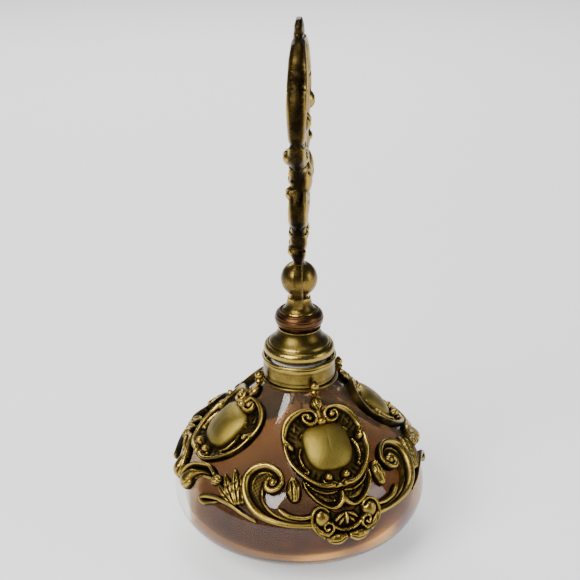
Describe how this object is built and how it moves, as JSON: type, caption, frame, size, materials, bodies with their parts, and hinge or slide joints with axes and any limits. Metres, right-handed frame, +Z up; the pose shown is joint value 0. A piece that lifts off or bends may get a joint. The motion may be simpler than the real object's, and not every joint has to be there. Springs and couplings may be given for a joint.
{
  "type": "perfume bottle",
  "caption": "Squat amber glass perfume bottle in a pierced cast brass jacket, with a tall flat brass finial on its lift-out dauber stopper.",
  "frame": {"origin": "centre of the foot ring's underside, on the table", "axes": "+Z up along the bottle's axis; the front cartouche faces -Y"},
  "size_m": [0.0806, 0.0832, 0.1651],
  "materials": {
    "amber_glass": "gloss",
    "clear_glass": "gloss",
    "cement": "matte",
    "sleeve": "satin",
    "copper": "worn satin",
    "satin_brass": "brushed satin",
    "collar_brass": "worn polish",
    "finial_brass": "worn polish",
    "jacket_brass": "antiqued"
  },
  "bodies": {
    "bottle": {"bellflower_drops": "collar_brass", "c_scroll_back_left": "jacket_brass", "c_scroll_back_right": "jacket_brass", "c_scroll_front_left": "jacket_brass", "c_scroll_front_right": "jacket_brass", "cartouche_back": "jacket_brass", "cartouche_front": "jacket_brass", "cartouche_left": "jacket_brass", "cartouche_right": "jacket_brass", "collar_band": "collar_brass", "collar_lip": "collar_brass", "collar_skirt": "collar_brass", "glass_bottle": "amber_glass", "leaf_buds": "jacket_brass", "leaf_spray_back_left": "jacket_brass", "leaf_spray_back_right": "jacket_brass", "leaf_spray_front_left": "jacket_brass", "leaf_spray_front_right": "jacket_brass", "long_leaf_back_left": "jacket_brass", "long_leaf_back_right": "jacket_brass", "long_leaf_front_left": "jacket_brass", "long_leaf_front_right": "jacket_brass", "medallion_back": "satin_brass", "medallion_front": "satin_brass", "medallion_left": "satin_brass", "medallion_right": "satin_brass", "neck_cement": "cement", "shell_clasp_back": "jacket_brass", "shell_clasp_front": "jacket_brass", "side_lobe_back_left": "jacket_brass", "side_lobe_back_right": "jacket_brass", "side_lobe_front_left": "jacket_brass", "side_lobe_front_right": "jacket_brass", "tie_beads": "jacket_brass", "wing_leaf_back": "jacket_brass", "wing_leaf_front": "jacket_brass"},
    "sleeve": {"seal_sleeve": "sleeve"},
    "stopper": {"dauber": "clear_glass", "plug_cement": "cement", "cap_shell": "collar_brass", "cap_nut": "collar_brass", "copper_ring": "copper", "finial_foot": "finial_brass", "finial_tang": "finial_brass", "finial_ball": "finial_brass", "finial_half_left": "finial_brass", "finial_half_right": "finial_brass"}
  },
  "joints": [
    {"name": "stopper_lift", "type": "slide", "parent": "bottle", "child": "sleeve", "axis": [0, 0, 1], "range_m": [0, 0.06]},
    {"name": "stopper_twist", "type": "hinge", "parent": "sleeve", "child": "stopper", "pos_m": [0, 0, 0.0624], "axis": [0, 0, 1], "continuous": true}
  ]
}
